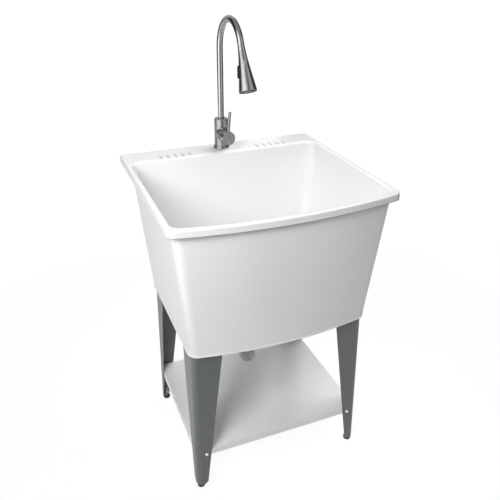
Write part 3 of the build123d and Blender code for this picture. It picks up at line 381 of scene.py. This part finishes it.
footThread = {
    "color": (0.62, 0.63, 0.64), "shade": (0.3, 0.31, 0.32), "metal": 1.0, "rough": 0.3,
    "pitch": 0.00125, "depth": 0.0005, "foot": 0.0118, "top": 0.042, "runOut": 0.0005,
}
studThread = dict(footThread, foot=0.8085, top=0.8725, pitch=0.001)
drainThread = {
    "color": (0.7, 0.71, 0.72), "shade": (0.45, 0.46, 0.47), "metal": 0.0, "rough": 0.32,
    "pitch": 0.0022, "depth": 0.0009, "foot": 0.45, "top": 0.499, "runOut": 0.0005,
}
threads = {"mounting_stud": (studThread, (0, 0.2356)), "drain_body": (drainThread, (0, 0.03))}
for end, y in (("front_", -0.225), ("back_", 0.172)):
    for side, x in (("left", -0.247), ("right", 0.247)):
        threads["foot_stem_" + end + side] = (footThread, (x, y))
for node, (look, centre) in threads.items():
    nodes[node].data.materials[0] = threaded("thread_" + node, look, centre)
print("threads cut:", len(threads))


def standUp(name, mesh):  # a finished mesh becomes an object at the origin
    piece = bpy.data.objects.new(name, bpy.data.meshes.new(name))
    mesh.to_mesh(piece.data)
    mesh.free()
    scene.collection.objects.link(piece)
    return piece


# the stretch of hose that shows between the spout and the spray head when it is drawn out
hoseStretch = {
    "dock": Vector((0, 0.08343, 1.17949)),
    "way": Vector((0, -0.42262, -0.90631)),  # out of the spout
    "start": 0.0003,  # metres past the dock
    "end": 0.00115,
    "inner": 0.00605,  # radii
    "outer": 0.0063,
    "section": (("start", "inner"), ("start", "outer"), ("end", "outer"), ("end", "inner")),
    "rings": 40,
    "sides": 48,
}


def drawHose():
    dock, way = hoseStretch["dock"], hoseStretch["way"]
    side = Vector((1, 0, 0))
    mesh = bmesh.new()
    section = [mesh.verts.new(dock + way * hoseStretch[end] + side * hoseStretch[wall])
               for end, wall in hoseStretch["section"]]
    edges = [mesh.edges.new((section[step - 1], section[step])) for step in range(4)]
    bmesh.ops.subdivide_edges(mesh, edges=[edges[0], edges[2]], cuts=hoseStretch["rings"])
    bmesh.ops.spin(mesh, geom=mesh.verts[:] + mesh.edges[:], cent=dock, axis=way, angle=tau,
                   steps=hoseStretch["sides"], use_merge=True)
    bmesh.ops.remove_doubles(mesh, verts=mesh.verts, dist=0.000001)
    bmesh.ops.recalc_face_normals(mesh, faces=mesh.faces)
    piece = standUp("hose_stretch", mesh)
    piece.data.shade_smooth()
    piece.data.materials.append(finishes["hose_sleeve"])
    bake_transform(piece)


drawHose()
print("hose drawn")

studio = {
    "ambient": 0.01,
    "lamps": {
        # name: place, aim, width, height, watts, spread in degrees, whether shiny surfaces show it
        "keyLeft": ((-1.05, -1.0, 1.6), (0, 0, 0.7), 0.7, 0.7, 21.5, 180, True),
        "back": ((0.3, 2.6, 1.2), (0, 0, 0.6), 1.4, 1.4, 10, 180, False),
        "overBasin": ((-0.3, -0.4, 1.7), (0.1, 0.1, 0.6), 0.7, 0.7, 2, 180, False),
        "highRight": ((1.0, 0.3, 2.4), (0, 0, 0.8), 1.2, 1.2, 28, 180, False),
        "lowBack": ((1.25, 2.17, 0.25), (0, 0, 0.1), 1.2, 0.2, 2.6, 14, False),
    },
    "floorHalf": 60,
    "floorColor": (0.9, 0.9, 0.9),
    "floorWhite": 1.06,
    "nearShare": 0.86,        # how much of the floor near the sink is plain white to the camera
    "nearReach": (0.8, 2.5),  # and from where to where that share grows to the whole
    "clothCentre": (0, 0.248),
    "clothReach": 1.1,
    "clothTop": 2.4,
    "clothStep": 4,           # degrees
    "cloths": {
        # name: first and last bearing in degrees from the front, turning right; brightness; hem
        "clothBack": (-205, -160, 0.75, 0),
        "clothBackLeft": (-158, -98, 0.04, 0.72),
        "clothKey": (-90, -44, 2.7, 0),
        "clothFrontLeft": (-44, -24, 1.0, 0),
        "clothFront": (-24, 14, 0.3, 0),
        "clothRight": (25, 54, 1.15, 0),
        "clothFarRight": (54, 145, 0.1, 0.5),
    },
    "above": 0.5,             # brightness of the round cloth over them
    "aboveSides": 48,
}


def seenShare(wiring):  # 1 for the camera, for reflections and through glass
    rays = wiring.node("LightPath")
    share = rays.output("Is Camera Ray")
    for ray in ("Is Glossy Ray", "Is Transmission Ray"):
        share = wiring.maths("MAXIMUM", share, rays.output(ray))
    return share


def glow(finish, strength):
    return finish.node("Emission", values={"Color": (1, 1, 1), "Strength": strength})


def lightUp():
    scene.world = bpy.data.worlds.new("studioWorld")
    scene.world.use_nodes = True
    sky = Wiring(scene.world.node_tree)
    background = sky.tree.nodes["Background"]
    sky.feed(background.inputs["Color"], (1, 1, 1))
    strength = seenShare(sky) * (1 - studio["ambient"]) + studio["ambient"]
    sky.feed(background.inputs["Strength"], strength)
    for name, (place, aim, width, height, watts, spread, shines) in studio["lamps"].items():
        data = bpy.data.lights.new(name, "AREA")
        data.shape = "RECTANGLE"
        data.size, data.size_y, data.energy, data.spread = width, height, watts, radians(spread)
        lamp = bpy.data.objects.new(name, data)
        lamp.visible_camera = False
        lamp.visible_glossy = shines
        scene.collection.objects.link(lamp)
        facing = (Vector(aim) - Vector(place)).to_track_quat("-Z", "Y").to_matrix().to_4x4()
        lamp.matrix_world = Matrix.Translation(place) @ facing


def layFloor():
    mesh = bmesh.new()
    bmesh.ops.create_grid(mesh, x_segments=1, y_segments=1, size=studio["floorHalf"])
    floor = standUp("floor", mesh)
    finish = Finish("floorPaint", Base_Color=studio["floorColor"], Roughness=0.9)
    distance = finish.node("VectorMath", {"operation": "LENGTH"}, {0: finish.where()}).output("Value")
    share = finish.ramp(distance, *studio["nearReach"], studio["nearShare"], 1.0) * seenShare(finish)
    white = glow(finish, studio["floorWhite"])
    whole = finish.node("MixShader", values={0: share, 1: finish.paint, 2: white})
    finish.feed(finish.surface.inputs["Surface"], whole)
    floor.data.materials.append(finish.material)


def hangUp(name, mesh, level):  # only the shiny surfaces see it
    cloth = standUp(name, mesh)
    finish = Finish(name, Base_Color=(0, 0, 0), Roughness=1.0)
    finish.feed(finish.surface.inputs["Surface"], glow(finish, level))
    cloth.data.materials.append(finish.material)
    cloth.visible_camera = cloth.visible_diffuse = False
    cloth.visible_shadow = cloth.visible_transmission = False


def hangCloths():  # bright and dark cloths round the sink, and one above
    centre = Vector((*studio["clothCentre"], 0))
    for name, (first, last, level, hem) in studio["cloths"].items():
        mesh = bmesh.new()
        foot = centre + Vector((0, -studio["clothReach"], hem))
        top = foot + Vector((0, 0, studio["clothTop"] - hem))
        mesh.edges.new((mesh.verts.new(foot), mesh.verts.new(top)))
        bmesh.ops.rotate(mesh, verts=mesh.verts, cent=centre,
                         matrix=Matrix.Rotation(radians(first), 3, "Z"))
        steps = max(2, int((last - first) / studio["clothStep"]))
        bmesh.ops.spin(mesh, geom=mesh.verts[:] + mesh.edges[:], cent=centre, axis=(0, 0, 1),
                       angle=radians(last - first), steps=steps)
        hangUp(name, mesh, level)
    mesh = bmesh.new()
    bmesh.ops.create_circle(mesh, cap_ends=True, segments=studio["aboveSides"],
                            radius=studio["clothReach"],
                            matrix=Matrix.Translation((*studio["clothCentre"], studio["clothTop"])))
    hangUp("clothAbove", mesh, studio["above"])


lightUp()
layFloor()
hangCloths()
print("studio lit")
